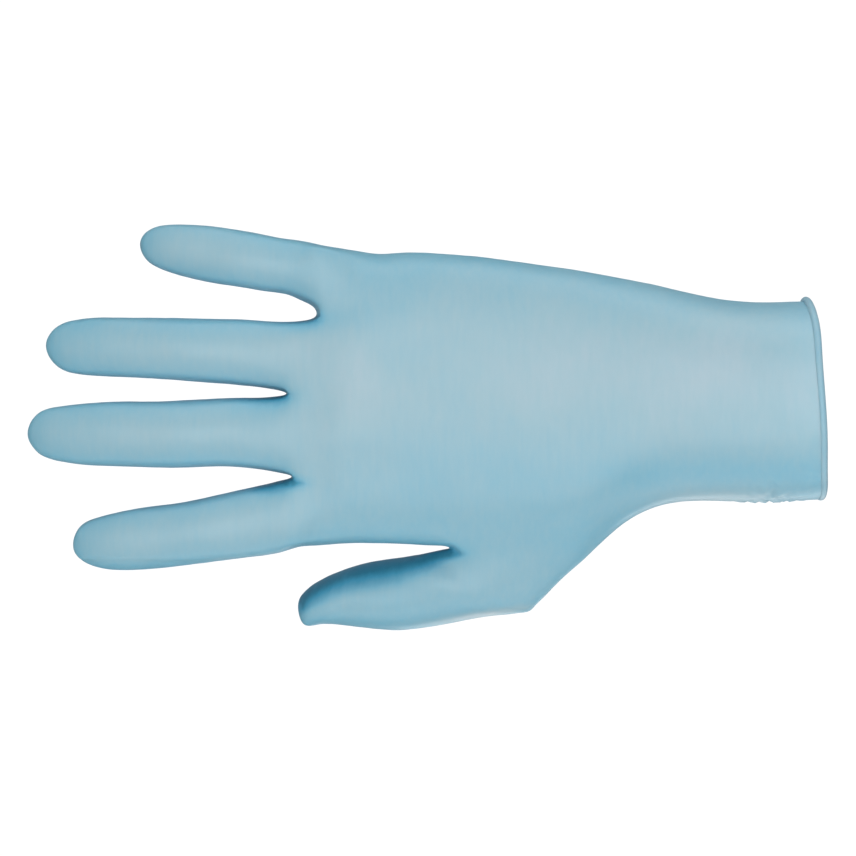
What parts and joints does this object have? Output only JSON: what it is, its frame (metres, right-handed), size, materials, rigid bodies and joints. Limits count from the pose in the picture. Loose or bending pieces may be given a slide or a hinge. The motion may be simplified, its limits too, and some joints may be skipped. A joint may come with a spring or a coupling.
{
  "type": "nitrile exam glove",
  "caption": "Pale blue disposable nitrile exam glove in its worn form, with spread fingers, the thumb beside the palm, a hollow palm and cuff, and a rolled rim round the open mouth.",
  "frame": {"origin": "centre of the cuff's mouth, where the wrist goes in", "axes": "+X out of the mouth, with the fingertips towards -X; +Z towards the little finger's side and -Z towards the thumb; -Y out of the back of the hand and +Y out of the palm"},
  "size_m": [0.2394, 0.05, 0.1229],
  "materials": {
    "nitrile_film": "satin pale blue film, slightly translucent"
  },
  "bodies": {
    "root": {"glove": "nitrile_film"}
  },
  "joints": []
}
